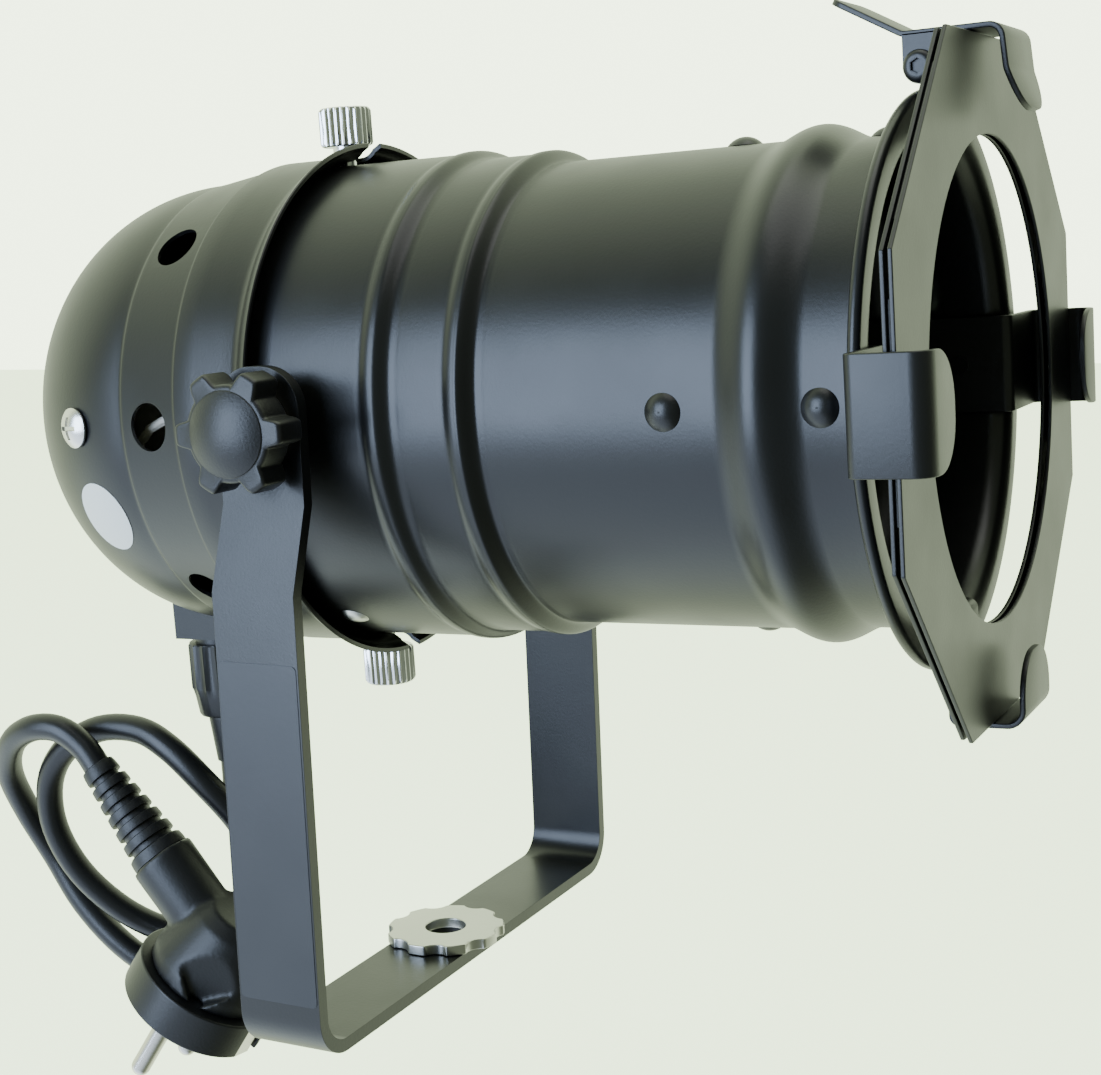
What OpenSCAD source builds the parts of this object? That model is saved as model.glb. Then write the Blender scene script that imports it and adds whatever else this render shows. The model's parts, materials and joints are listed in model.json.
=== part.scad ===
// Par can light for a PAR30 lamp: a barrel with a gel frame, a vented rear housing,
// a strap yoke with clamp knobs, and a mains cord with an angled earthed plug.
// The origin is the centre of the yoke's stand hole, on the strap's underside.
// The light faces -Y, +Z is up and the pivot axis runs along X.

/* [Yoke] */
// Outer width of the yoke at its bottom
yoke_w = 141; // [132:1:160]
// Width of the yoke's strap
strap_w = 20.6; // [16:0.2:26]
// Thickness of the yoke's strap
strap_t = 3; // [2:0.5:4]
// Height of the pivot above the yoke's underside
pivot_h = 136.5; // [128:0.5:170]
// How far each arm steps inwards below the pivot
arm_step = 6; // [3:0.5:7]
// Height of the arm's end above the pivot
arm_over = 12.9; // [9:0.1:16]
// Radius of the stand hole
stand_hole_r = 5.25; // [4:0.05:6.5]

/* [Barrel] */
// Outer radius of the barrel behind the first rib
barrel_r = 55.5; // [50:0.5:58]
// Radius lost at the first rib
rib1_drop = 1.5; // [0.5:0.1:2]
// Radius lost at the second rib
rib2_drop = 2.3; // [0.5:0.1:3]
// Distance from the pivot to the front flange
barrel_front = 128; // [110:1:150]
// Thickness of the sheet metal
sheet = 1; // [0.8:0.1:1.4]
// How far the bead stands above the barrel
bead_h = 3.1; // [1:0.1:4]
// Width of the front flange, from the neck to its rolled edge
flange_w = 8.5; // [6:0.1:10]

/* [Rear housing] */
// Distance from the pivot to the back of the dome
rear_len = 95.2; // [88:0.2:110]
// Radius of the vent holes
vent_r = 5.4; // [3:0.1:6]
// Number of vent holes
vent_count = 8; // [4:2:12]
// How far the rim flares out
flare_h = 2.8; // [1.5:0.1:3]

/* [Gel frame] */
// Width of the gel frame across its flats
frame_w = 137.6; // [134:0.2:144]
// Radius of the hole in the gel frame
frame_hole_r = 49.5; // [40:0.5:52]
// Thickness of each of its two plates
plate_t = 0.9; // [0.6:0.1:1.2]
// Room in front of the flange for accessories
slot_depth = 15; // [10:0.5:20]
// Width of the clips
clip_w = 22; // [14:1:30]
// Thickness of the clips
clip_t = 1.2; // [0.8:0.1:1.6]

/* [Knobs and screws] */
// Radius of the clamp knobs over their lobes
knob_r = 13.3; // [11:0.1:16]
// Radius of the clamp stud
stud_r = 3; // [2.5:0.25:4]
// Radius of the thumbscrew's head
thumb_r = 6.2; // [5:0.1:7]
// Height of the thumbscrew's head
thumb_h = 9; // [6:0.5:12]

/* [Lamp] */
// Radius of the lamp's reflector
lamp_r = 47.5; // [40:0.5:48]
// Distance from the pivot to the lamp's front
lamp_front = 64; // [50:1:76]

/* [Cord] */
// Diameter of the mains cord
cord_d = 7; // [5:0.5:8]

/* [Hidden] */
$fn = 96;

play = 0.08;                          // running clearance of a shaft in its hole
seat = 0.3;                           // gap between pieces that only rest on each other
clear = 0.1;                          // gap between flat faces that slide on each other

// yoke
bend_r = 10;                          // outer radius of the yoke's bottom bends
step_top = 16;                        // below the pivot, where the arm's step starts
step_h = 18;
arm_corner = 9;
arm_x = yoke_w / 2 - arm_step;        // outer face of the upper arm
arm_in = arm_x - strap_t;             // inner face of the upper arm
rest_tilt = 1.7;                      // how far the light points up at rest

// barrel, measured from the pivot towards the front
mid_r = barrel_r - rib1_drop;
fore_r = mid_r - rib2_drop;
neck_r = fore_r - 0.7;
flange_r = neck_r + flange_w;
barrel_back = -24;
rib1_u = 22;
rib2_u = 41;
rib_h = 0.5;
bead_u = barrel_front - 23;
flange_roll = 1.3;
flare_bend = 4;
rivet_r = 3.8;
rivet_h = 1.8;
rivet_us = [barrel_front - 42, barrel_front - 10.4];
side_rivet_u = -3;
side_rivet_a = 57;

// rear housing
rim_u = -6.5;
seam2_u = -27.8;
seam1_u = -44.7;
band_r = barrel_r + 1.9;              // housing outside, just behind its flared rim
seam2_r = band_r - 0.8;
seam1_r = seam2_r - 2.4;
dome_r = seam1_r - 0.4;
knuckle_r = 47;
crown_r = 62;
dome_h = crown_r - sqrt(pow(crown_r - knuckle_r, 2) - pow(dome_r - knuckle_r, 2));
dome_u = dome_h - rear_len;           // where the knuckle starts
vent_u = (seam1_u + seam2_u) / 2;
thumb_u = -14;
thumb_gap = 2.6;
thumb_shank = 2;
slot_w = 5.2;

// front clips and gel frame
clip_leg = neck_r - sheet - 1.5;      // outer face of a clip's inner leg
clip_back = barrel_front - 48;
clip_in = frame_w / 2 + seat;         // inside of a clip's outer leg
clip_out = clip_in + clip_t;
step_u = barrel_front + seat;         // back face of a clip's step
tab_u = barrel_front + slot_depth;    // back face of a clip's front tab
tab_len = 15;
plate_gap = 0.8;
frame_u = barrel_front + 7.4;         // back face of the gel frame
frame_side = frame_w * tan(22.5) / 2;

// latch
pin_u = barrel_front - 0.5;
pin_n = flange_r + 3.7;
pin_r = 1.5;
lever_rise = 7.6;
lever_len = 14.5;

// clamp knobs
knob_t = 9.5;
knob_x = arm_x + 1.7;                 // back face of the knob
hub_r = 9;
hub_h = 2.6;
lobes = 6;
spacer_r = 5.8;

// lamp and holder
base_r = 13.2;
base_len = 24;
lamp_len = 116;
base_u = lamp_front - lamp_len;       // tip of the lamp's base
holder_r = 20;
holder_back = base_u - 18;
holder_len = 42;
bracket_w = 12;
bracket_t = 1.5;
bracket_u = holder_back - bracket_t;
foot_u = -60;

// gland under the dome, measured down from the lamp's axis
gland_u = -64;
gland_top = 38;
thread_r = 7;                         // radius of the gland's thread
thread_end = 72;
flat_start = 46;                      // square collar, cut to the dome at its top
flat_end = 58.6;
gland_bore = 5.5;
nut_start = 60.2;
nut_end = 79.2;
seal_end = 91.6;

// cord: from the gland's seal, two hanging turns, to the plug
cord_r = cord_d / 2;
cord_start = [0, -gland_u * cos(rest_tilt) - seal_end * sin(rest_tilt),
  pivot_h + gland_u * sin(rest_tilt) - seal_end * cos(rest_tilt)];
cord_down = [0, -sin(rest_tilt), -cos(rest_tilt)];
plug_neck = [-21, 89, 44];            // where the cord enters the plug's relief
cord_route = [
  cord_start, cord_start + 3.9 * cord_down, cord_start + 8 * cord_down, [3, 62, 27], [8, 61.5, 16], [11.5, 61.5, 5], [12, 65, -4],
  [10.5, 71.5, -9.5], [7.5, 80, -11.5], [3, 90, -9], [-3, 100, -2], [-8, 109, 9], [-11, 114, 22],
  [-12.5, 113, 35], [-13, 106, 45], [-12, 95, 51], [-11, 83, 51.5], [-11, 73.5, 47.5], [-9.5, 65, 39.5],
  [-5, 57.5, 28], [0.5, 53.5, 14], [5.5, 54, 0], [7, 58.5, -12], [7, 67, -19.5], [5, 78, -22.5],
  [1.5, 90, -20.5], [-1.5, 102, -13], [-3, 113, -2], [-4, 121, 11], [-8, 126, 24.5],
  [-14, 125.5, 37], [-19.5, 118.5, 47], [-22, 109, 52.5], [-21.8, 100, 53], [-21, 93.2, 48.9],
  plug_neck
];

// wires inside the housing, as x, height and distance forward from the pivot
wire_r = 1.1;
live_route = [
  [-1.6, -35.7, -64], [-1.9, -33.2, -64], [-5.5, -31.8, -63], [-14, -34, -61], [-22, -36, -59],
  [-31, -33, -56], [-42, -16, -52.5], [-46.5, -4, -46], [-48, 0.5, -38], [-46.5, 3, -31],
  [-40, 6, -27.5], [-33, 9.5, -33], [-31, 10, -41], [-25.5, 8.7, -45], [-19.1, 6.5, -45]
];
neutral_route = [
  [1.6, -35.7, -64], [1.8, -33.4, -64], [3.6, -31, -62.5], [4.2, -28.5, -59.5], [3.7, -25, -57],
  [3, -19.95, -57]
];
earth_route = [
  [0, -35.7, -66.5], [-0.2, -33.4, -66.5], [-5, -31.5, -67.5], [-18, -30, -68], [-31, -22, -65],
  [-39.5, -11, -60.5], [-43, -5, -57.8], [-48.1, -4, -59]
];

// plug
face_at = [-23, 62, -16];             // middle of the plug's face
face_turn = [0, 147.2, 103.8];        // points z the way the pins point
face_spin = 15;
neck_turn = [-40.5, 0, 0];            // points z from the plug's body to its cord
plug_r = 19;
face_t = 10;
pin_gap = 19;
pin_len = 19;
plug_pin_r = 2.4;
relief_len = 29;
relief_r = 7.5;

// places a child drawn along the lamp's axis: z towards the front, y up
module head() {
  translate([0, 0, pivot_h]) rotate([90 - rest_tilt, 0, 0]) children();
}

// places a child drawn along z so that z points away from the axis at an angle from -X
module around(angle, radius, u) {
  translate([0, 0, u]) rotate([0, 0, 180 - angle]) translate([radius, 0, 0]) rotate([0, 90, 0]) children();
}

function arc(centre, radius, from, to, steps) =
  [for (i = [0:steps]) let (a = from + (to - from) * i / steps) centre + radius * [cos(a), sin(a)]];

function unit(v) = v / norm(v);
function turn(v) = [-v[1], v[0]];
function reversed(list) = [for (i = [len(list) - 1:-1:0]) list[i]];

// a polyline moved sideways by d, with mitred corners
function beside(p, d) = [
  for (i = [0:len(p) - 1])
    let (last = len(p) - 1, a = unit(p[max(i, 1)] - p[max(i, 1) - 1]), b = unit(p[min(i + 1, last)] - p[min(i + 1, last) - 1]),
         m = unit(turn(a) + turn(b)))
    p[i] + m * d / (m * turn(a))
];

// a folded strip of sheet metal, seen from its edge
module strip(p, thick) {
  polygon(concat(beside(p, thick / 2), reversed(beside(p, -thick / 2))));
}

// a shaped ring: the profile's points are [radius, u]
module lathe(points) {
  rotate_extrude() polygon(points);
}

// ---- yoke and its stand nut ----
module strap_outline() {
  side = [
    [yoke_w / 2, bend_r], [yoke_w / 2, pivot_h - step_top - step_h],
    [arm_x, pivot_h - step_top], [arm_x, pivot_h + arm_over],
    [arm_in, pivot_h + arm_over], [arm_in, pivot_h - step_top],
    [yoke_w / 2 - strap_t, pivot_h - step_top - step_h], [yoke_w / 2 - strap_t, bend_r]
  ];
  for (s = [-1, 1]) {
    polygon([for (p = side) [s * p[0], p[1]]]);
    intersection() {
      translate([s * (yoke_w / 2 - bend_r), bend_r]) difference() {
        circle(r = bend_r);
        circle(r = bend_r - strap_t);
      }
      translate([s > 0 ? yoke_w / 2 - bend_r : -yoke_w / 2, 0]) square(bend_r);
    }
  }
  translate([bend_r - yoke_w / 2, 0]) square([yoke_w - 2 * bend_r, strap_t]);
}

module arm_end_cut() {
  difference() {
    translate([-strap_w, pivot_h + arm_over - arm_corner]) square([2 * strap_w, 2 * arm_corner]);
    for (s = [-1, 1])
      translate([s * (strap_w / 2 - arm_corner), pivot_h + arm_over - arm_corner]) circle(r = arm_corner);
    translate([arm_corner - strap_w / 2, pivot_h]) square([strap_w - 2 * arm_corner, arm_over]);
  }
}

module yoke() {
  color("#2b2d30") difference() {
    rotate([90, 0, 0]) linear_extrude(strap_w, center = true) strap_outline();
    rotate([90, 0, 90]) linear_extrude(2 * yoke_w, center = true) arm_end_cut();
    translate([0, 0, pivot_h]) rotate([0, 90, 0]) cylinder(r = stud_r + play, h = 2 * yoke_w, center = true);
    translate([0, 0, -1]) cylinder(r = stand_hole_r, h = strap_t + 2);
  }
}

module stand_nut() {
  nut_r = 14.5;
  notches = 9;
  color("#c9c9c4") translate([0, 0, strap_t + clear]) difference() {
    cylinder(r = nut_r, h = 2.5);
    translate([0, 0, -1]) cylinder(r = 5, h = 5);
    for (i = [0:notches - 1])
      rotate(i * 360 / notches) translate([nut_r + 2.2, 0, -1]) cylinder(r = 3.6, h = 5);
  }
}

// ---- clamp knobs on the pivot ----
module side(s) {
  translate([0, 0, pivot_h]) rotate([0, s * 90, 0]) children();
}

module clamp_knob(s) {
  valley = 3.4;
  color("#1c1d1f") side(s) difference() {
    union() {
      translate([0, 0, knob_x + 1]) cylinder(r = knob_r, h = knob_t - 1);
      translate([0, 0, knob_x]) cylinder(r = hub_r, h = 1);
      translate([0, 0, knob_x + knob_t]) intersection() {
        cylinder(r = hub_r, h = hub_h);
        translate([0, 0, hub_h - 18]) sphere(r = 18);
      }
    }
    translate([0, 0, knob_x - 1]) cylinder(r = stud_r, h = knob_t);
    for (i = [0:lobes - 1])
      rotate((i + 0.5) * 360 / lobes) translate([knob_r + 1.2, 0, knob_x - 1]) cylinder(r = valley, h = knob_t + 2);
  }
}

module clamp_stud(s) {
  color("#9a9c9e") side(s) translate([0, 0, barrel_r - 7]) cylinder(r = stud_r, h = knob_x + knob_t - 1 - barrel_r + 7);
}

module clamp_knob_left() {
  clamp_knob(-1);
}

module clamp_knob_right() {
  clamp_knob(1);
}

module clamp_stud_left() {
  clamp_stud(-1);
}

module clamp_stud_right() {
  clamp_stud(1);
}

module clamp_washers() {
  color("#b9bbbd") for (s = [-1, 1]) side(s) translate([0, 0, arm_x + clear]) difference() {
    cylinder(r = 8, h = knob_x - arm_x - 2 * clear);
    translate([0, 0, -1]) cylinder(r = stud_r + play, h = 4);
  }
}

module pivot_spacers() {
  color("#232426") for (s = [-1, 1]) side(s) translate([0, 0, barrel_r + 0.02]) difference() {
    cylinder(r = spacer_r, h = arm_in - clear - barrel_r);
    translate([0, 0, -1]) cylinder(r = stud_r + play, h = arm_in);
  }
}

module pivot_nuts() {
  nut_h = 4.5;
  color("#a9abad") for (s = [-1, 1]) side(s) translate([0, 0, barrel_r - sheet - 0.45 - nut_h]) difference() {
    cylinder(r = 6, h = nut_h, $fn = 6);
    translate([0, 0, -1]) cylinder(r = stud_r + play, h = nut_h + 2);
  }
}

// ---- barrel ----
function bead_side() = [
  for (i = [0:16])
    let (k = i / 16)
    [fore_r + (neck_r - fore_r) * k + bead_h * (1 - cos(360 * k)) / 2, bead_u + (k - 0.5) * 19]
];

function rib_side(from, to, u) =
  [[from, u - 2.5], [from + rib_h * 0.7, u - 1.2], [from + rib_h, u], [from + rib_h * 0.6, u + 1.2], [to + 0.4, u + 3.2], [to, u + 4.6]];

function barrel_side() = concat(
  [[barrel_r, barrel_back]], rib_side(barrel_r, mid_r, rib1_u), rib_side(mid_r, fore_r, rib2_u), bead_side()
);

module barrel() {
  flare = [neck_r + flare_bend, barrel_front - sheet - flare_bend];
  back_face = [flange_r - flange_roll, barrel_front - sheet];
  front_face = [flange_r - flange_roll, barrel_front];
  color("#26282b") head() difference() {
    union() {
      lathe(concat(
        barrel_side(), arc(flare, flare_bend, 180, 90, 5), [back_face, front_face],
        arc(flare, flare_bend + sheet, 90, 180, 5), reversed([for (p = barrel_side()) p - [sheet, 0]])
      ));
      rotate_extrude() translate([flange_r - flange_roll, barrel_front - flange_roll]) circle(r = flange_roll);
    }
    for (a = [0:90:270], u = rivet_us) around(a, fore_r - 6, u) cylinder(r = 2, h = 12);
    for (a = [0, 180]) around(a, barrel_r - 6, 0) cylinder(r = stud_r + play, h = 12);
    for (a = [90, 270]) around(a, barrel_r - 6, thumb_u) cylinder(r = thumb_shank + play, h = 12);
    for (a = [-side_rivet_a, 180 + side_rivet_a]) around(a, barrel_r - 6, side_rivet_u) cylinder(r = 1.6, h = 12);
  }
}

module rivet(shank_r, shank_l, head_r, head_h) {
  ball = (head_r * head_r + head_h * head_h) / (2 * head_h);
  translate([0, 0, -shank_l]) cylinder(r = shank_r, h = shank_l + head_h / 2);
  intersection() {
    translate([0, 0, head_h - ball]) sphere(r = ball);
    cylinder(r = head_r + 1, h = head_h + 1);
  }
}

module clip_rivets() {
  wall_rs = [fore_r, neck_r];
  color("#1e2022") head() for (a = [0:90:270], i = [0, 1])
    around(a, wall_rs[i] + 0.02, rivet_us[i])
      rivet(1.95, wall_rs[i] - clip_leg + clip_t + 1, rivet_r, rivet_h);
}

module side_rivets() {
  color("#c8c9c6") head() for (a = [-side_rivet_a, 180 + side_rivet_a])
    around(a, barrel_r + 0.02, side_rivet_u) rivet(1.5, sheet + 0.6, 3.4, 1);
}

// ---- clips that hold the gel frame: folded strips, drawn on the +X side of the lamp's axis ----
module rivet_holes() {
  for (u = rivet_us) translate([clip_leg - 5, 0, u]) rotate([0, 90, 0]) cylinder(r = 2, h = 10);
}

module clip() {
  half = clip_t / 2;
  corner = 5;
  tab_in = clip_out - tab_len;
  difference() {
    rotate([90, 0, 0]) linear_extrude(clip_w, center = true) strip([
      [clip_leg - half, clip_back], [clip_leg - half, step_u + half], [clip_in + half, step_u + half],
      [clip_in + half, tab_u + half], [tab_in, tab_u + half]
    ], clip_t);
    rivet_holes();
    for (s = [-1, 1]) translate([tab_in + corner, s * (clip_w / 2 - corner), tab_u - 1]) difference() {
      translate([-corner - 1, s > 0 ? 0 : -corner - 1, 0]) cube([corner + 1, corner + 1, clip_t + 2]);
      translate([0, 0, -1]) cylinder(r = corner, h = clip_t + 4);
    }
  }
}

module clip_left() {
  color("#2a2c2f") head() rotate(180) clip();
}

module clip_right() {
  color("#2a2c2f") head() clip();
}

module clip_bottom() {
  color("#2a2c2f") head() rotate(-90) clip();
}

// ---- latch above the gel frame, drawn with x up ----
module on_pin() {
  head() rotate(90) translate([pin_n, 0, pin_u]) rotate([90, 0, 0]) children();
}

module latch_bracket() {
  ear_in = clip_w / 2 - 2 * clip_t - 0.4;
  ear_low = flange_r + 0.8;
  ear_high = pin_n + 2.8;
  half = clip_t / 2;
  color("#2a2c2f") difference() {
    union() {
      head() rotate(90) {
        rotate([90, 0, 0]) linear_extrude(2 * ear_in + 2 * clip_t, center = true) strip([
          [clip_leg - half, clip_back], [clip_leg - half, step_u + half], [ear_high, step_u + half]
        ], clip_t);
        for (s = [-1, 1]) translate([ear_low, s > 0 ? ear_in : -ear_in - clip_t, pin_u])
          cube([ear_high - ear_low, clip_t, step_u - pin_u + half]);
      }
      for (s = [-1, 1]) on_pin() translate([0, 0, s * (ear_in + half)])
        cylinder(r = ear_high - pin_n, h = clip_t, center = true);
    }
    head() rotate(90) {
      rivet_holes();
      translate([pin_n - 3, -3.4, step_u - 1]) cube([8, 6.8, clip_t + 2]);
    }
    on_pin() cylinder(r = pin_r + play, h = 2 * clip_w, center = true);
  }
}

module latch() {
  half = clip_t / 2;
  cheek_in = clip_w / 2 - clip_t;
  cheek_r = pin_u + 3.4;
  top_back = pin_u - 3.4;
  tongue_in = clip_out - tab_len * 0.6;
  color("#2d2f32") difference() {
    union() {
      head() rotate(90) {
        rotate([90, 0, 0]) linear_extrude(clip_w, center = true) strip([
          [clip_out + lever_rise, top_back - lever_len], [clip_in + half, top_back],
          [clip_in + half, tab_u + half], [tongue_in, tab_u + half + 0.8], [tongue_in - 8, tab_u + half + 3.4]
        ], clip_t);
        for (s = [-1, 1]) translate([pin_n, s > 0 ? cheek_in : -cheek_in - clip_t, top_back])
          cube([clip_in + half - pin_n, clip_t, 9.4]);
      }
      for (s = [-1, 1]) on_pin() translate([0, 0, s * (cheek_in + half)])
        cylinder(r = cheek_r - pin_u, h = clip_t, center = true);
    }
    on_pin() cylinder(r = pin_r + play, h = 2 * clip_w, center = true);
  }
}

module latch_pin() {
  color("#3a3c3e") on_pin() {
    cylinder(r = pin_r, h = clip_w + 1, center = true);
    for (s = [-1, 1]) translate([0, 0, s * (clip_w / 2 + 0.65)]) cylinder(r = 2.7, h = 1.1, center = true);
  }
}

module latch_spring() {
  wire = 0.5;
  coils = 6;
  pitch = 1.6 * wire;
  color("#8d8f91") on_pin() for (i = [0:coils - 1]) translate([0, 0, (i - (coils - 1) / 2) * pitch])
    rotate_extrude() translate([pin_r + 0.3 + wire, 0]) circle(r = wire, $fn = 24);
}

// ---- gel frame: two plates with a round hole ----
module octagon(w) {
  intersection() {
    square(w, center = true);
    rotate(45) square(w, center = true);
  }
}

module gel_plate(u, w) {
  head() translate([0, 0, u]) linear_extrude(plate_t) difference() {
    octagon(w);
    circle(r = frame_hole_r);
  }
}

module gel_plate_back() {
  lug = 2;
  color("#2c2e31") union() {
    gel_plate(frame_u, frame_w - 1);
    head() for (i = [0:7]) rotate(i * 45) translate([frame_w / 2 - 3.5, -frame_side * 0.7, frame_u + plate_t / 2])
      cube([lug, frame_side * 1.4, plate_t / 2 + plate_gap]);
  }
}

module gel_plate_front() {
  color("#2f3134") gel_plate(frame_u + plate_t + plate_gap, frame_w);
}

// ---- rear housing ----
// angle from the radius at which the crown meets the knuckle
knuckle_turn = 90 - asin((dome_r - knuckle_r) / (crown_r - knuckle_r));

function dome_side(t) = concat(
  [[0, t - rear_len]],
  arc([0, crown_r - rear_len], crown_r - t, -87, -knuckle_turn, 8),
  arc([dome_r - knuckle_r, dome_u], knuckle_r - t, -knuckle_turn, 0, 10)
);

function housing_side(t) = concat(
  dome_side(t),
  [[dome_r - t, seam1_u], [seam1_r - t, seam1_u + 0.6], [seam2_r - t, seam2_u], [band_r - t, seam2_u + 0.6]],
  arc([band_r + 4, rim_u - 5.5], 4 + t, 180, 125, 4),
  [[band_r + flare_h - t * 0.6, rim_u]]
);

// places a child on the dome's outside at a bracket foot, with z along the surface's normal
module foot_place(a) {
  turn_back = asin((dome_u - foot_u) / knuckle_r);
  around(a, dome_r - knuckle_r + knuckle_r * cos(turn_back), foot_u) rotate([0, turn_back, 0]) children();
}

module rear_housing() {
  color("#242629") head() difference() {
    lathe(concat(housing_side(0), reversed(housing_side(sheet))));
    for (i = [0:vent_count - 1]) around(i * 360 / vent_count, band_r - 12, vent_u) cylinder(r = vent_r, h = 20);
    for (a = [90, 270]) around(a, band_r - 8, thumb_u) {
      cylinder(r = slot_w / 2, h = 16);
      translate([-12, -slot_w / 2, 0]) cube([12, slot_w, 16]);
    }
    around(270, 40, gland_u) cylinder(r = thread_r + play, h = 20);
    for (a = [0, 180]) foot_place(a) cylinder(r = 2 + play, h = 12, center = true);
  }
}

module thumbscrew(a) {
  head_at = band_r + thumb_gap;
  color("#d4d6d6") head() around(a, 0, thumb_u) {
    translate([0, 0, head_at]) cylinder(r = thumb_r, h = thumb_h);
    translate([0, 0, barrel_r - sheet - 5]) cylinder(r = thumb_shank, h = head_at - barrel_r + sheet + 5.5);
  }
}

module thumbscrew_top() {
  thumbscrew(90);
}

module thumbscrew_bottom() {
  thumbscrew(270);
}

module thumb_nuts() {
  nut_h = 3.2;
  color("#a9abad") head() for (a = [90, 270]) around(a, barrel_r - sheet - seat - nut_h, thumb_u) difference() {
    translate([-4, -4, 0]) cube([8, 8, nut_h]);
    translate([0, 0, -1]) cylinder(r = thumb_shank + play, h = nut_h + 2);
  }
}

// ---- lamp holder on its bracket ----
foot_gap = sheet + 1;

module foot_screw() {
  shank = foot_gap + bracket_t + 2;
  translate([0, 0, -shank]) cylinder(r = 2, h = shank + 0.5);
  difference() {
    intersection() {
      translate([0, 0, 2.4 - 7]) sphere(r = 7);
      translate([0, 0, 0.25]) cylinder(r = 4.6, h = 3);
    }
    for (i = [0, 1]) rotate(90 * i) translate([-2.6, -0.5, 1.5]) cube([5.2, 1, 2]);
  }
}

module earth_screw() {
  color("#d8d9d6") head() foot_place(0) foot_screw();
}

module bracket_screw() {
  color("#d8d9d6") head() foot_place(180) foot_screw();
}

module holder_bracket() {
  deep = foot_gap + bracket_t / 2;
  turn_back = asin((dome_u - foot_u) / knuckle_r);
  way = [cos(turn_back), -sin(turn_back)];
  foot = [dome_r - knuckle_r, dome_u] + (knuckle_r - deep) * way;
  base = [foot[0] - 6.4, bracket_u + bracket_t / 2];
  right = [foot + 5 * turn(way), foot - 5 * turn(way), base];
  color("#b4b6b8") head() difference() {
    rotate([90, 0, 0]) linear_extrude(bracket_w, center = true)
      strip(concat(right, [for (p = reversed(right)) [-p[0], p[1]]]), bracket_t);
    for (a = [0, 180]) foot_place(a) cylinder(r = 2 + play, h = 20, center = true);
    for (s = [-1, 1]) translate([s * 11, 0, bracket_u - 1]) cylinder(r = 1.6, h = 4);
  }
}

module lamp_holder() {
  cavity_r = 14;
  color("#e8e4da") head() difference() {
    union() {
      translate([0, 0, holder_back]) cylinder(r = holder_r, h = holder_len);
      translate([0, 0, holder_back + holder_len - 8]) cylinder(r = holder_r + 1.5, h = 8);
    }
    translate([0, 0, base_u - 3.2]) cylinder(r = cavity_r, h = holder_len + 8);
    for (s = [-1, 1]) translate([s * 11, 0, holder_back - 1]) cylinder(r = 1.6, h = 9);
  }
}

module holder_screws() {
  color("#c2c4c4") head() for (s = [-1, 1]) translate([s * 11, 0, bracket_u - 1.8]) {
    cylinder(r = 3, h = 1.8);
    cylinder(r = 1.5, h = 8);
  }
}

module socket_shell() {
  color("#c9a54a") head() translate([0, 0, base_u + 2.5]) difference() {
    cylinder(r = base_r + 0.7, h = base_len - 6);
    translate([0, 0, -1]) cylinder(r = base_r + 0.1, h = base_len);
  }
}

module socket_contact() {
  color("#c9a54a") head() translate([0, 0, base_u - 3.1]) {
    cylinder(r = 6, h = 0.8);
    cylinder(r = 2.5, h = 2.8);
  }
}

// ---- lamp ----
function bowl_side(t) = [
  for (i = [0:12])
    let (k = i / 12, neck = 16)
    [sqrt(neck * neck + (lamp_r * lamp_r - neck * neck) * k) - t, lamp_front - 70 + 65 * k]
];

module lamp_reflector() {
  wall = 1.8;
  neck_low = base_u + base_len;
  color("#dfe3e6") head() lathe(concat(
    [[15, neck_low], [16, neck_low + 3]], bowl_side(0), reversed(bowl_side(wall)),
    [[14.2, neck_low + 3], [12, neck_low + 1.5], [12, neck_low]]
  ));
}

module lamp_glass() {
  cap_r = 230;
  rim = asin((lamp_r - 0.3) / cap_r);
  color("#cfd8dc") head() lathe(concat(
    [[0, lamp_front - 5], [lamp_r - 0.3, lamp_front - 5]], arc([0, lamp_front - cap_r], cap_r, 90 - rim, 89.2, 6),
    [[0, lamp_front]]
  ));
}

module lamp_base() {
  color("#c7c9cb") head() translate([0, 0, base_u + 2]) cylinder(r = base_r, h = base_len - 2);
}

module lamp_tip() {
  color("#2a2a2a") head() translate([0, 0, base_u]) cylinder(r = 5, h = 2);
}

// ---- cable gland under the dome, drawn with z downwards from the lamp's axis ----
module under() {
  head() around(270, 0, gland_u) children();
}

module gland_body() {
  flat_w = 16.8;
  color("#1b1c1e") difference() {
    under() {
      translate([0, 0, gland_top]) cylinder(r = thread_r, h = thread_end - gland_top);
      translate([-flat_w / 2, -flat_w / 2, flat_start]) cube([flat_w, flat_w, flat_end - flat_start]);
    }
    under() translate([0, 0, gland_top - 1]) cylinder(r = gland_bore, h = thread_end);
    difference() {
      head() lathe(concat(dome_side(-0.05), [[dome_r, seam1_u], [0, seam1_u]]));
      under() cylinder(r = thread_r, h = thread_end);
    }
  }
}

module gland_locknut() {
  height = 3.4;
  color("#1b1c1e") under() translate([0, 0, gland_top + 1.6]) difference() {
    cylinder(r = 10, h = height, $fn = 6);
    translate([0, 0, -1]) cylinder(r = thread_r + 0.05, h = height + 2);
  }
}

module gland_nut() {
  edge = nut_end - 7;
  color("#202124") under() rotate_extrude() polygon([
    [thread_r + play, nut_start], [9, nut_start], [9, edge], [7.6, nut_end], [gland_bore, nut_end],
    [gland_bore, thread_end + 0.4], [thread_r + play, thread_end + 0.4]
  ]);
}

module gland_seal() {
  inner = gland_bore - play;
  color("#17181a") under() rotate_extrude() polygon([
    [0, gland_top - 2], [cord_r, gland_top - 2], [cord_r, 64], [inner, 66], [inner, nut_end + 1],
    [cord_r + 0.7, seal_end], [0, seal_end]
  ]);
}

// ---- wires and cord ----
function curve(p, i, t) =
  let (last = len(p) - 1, a = p[max(i - 1, 0)], b = p[i], c = p[i + 1], d = p[min(i + 2, last)])
  b + (c - a) * t / 2 + (2 * a - 5 * b + 4 * c - d) * t * t / 2 + (3 * b - a - 3 * c + d) * t * t * t / 2;

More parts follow.
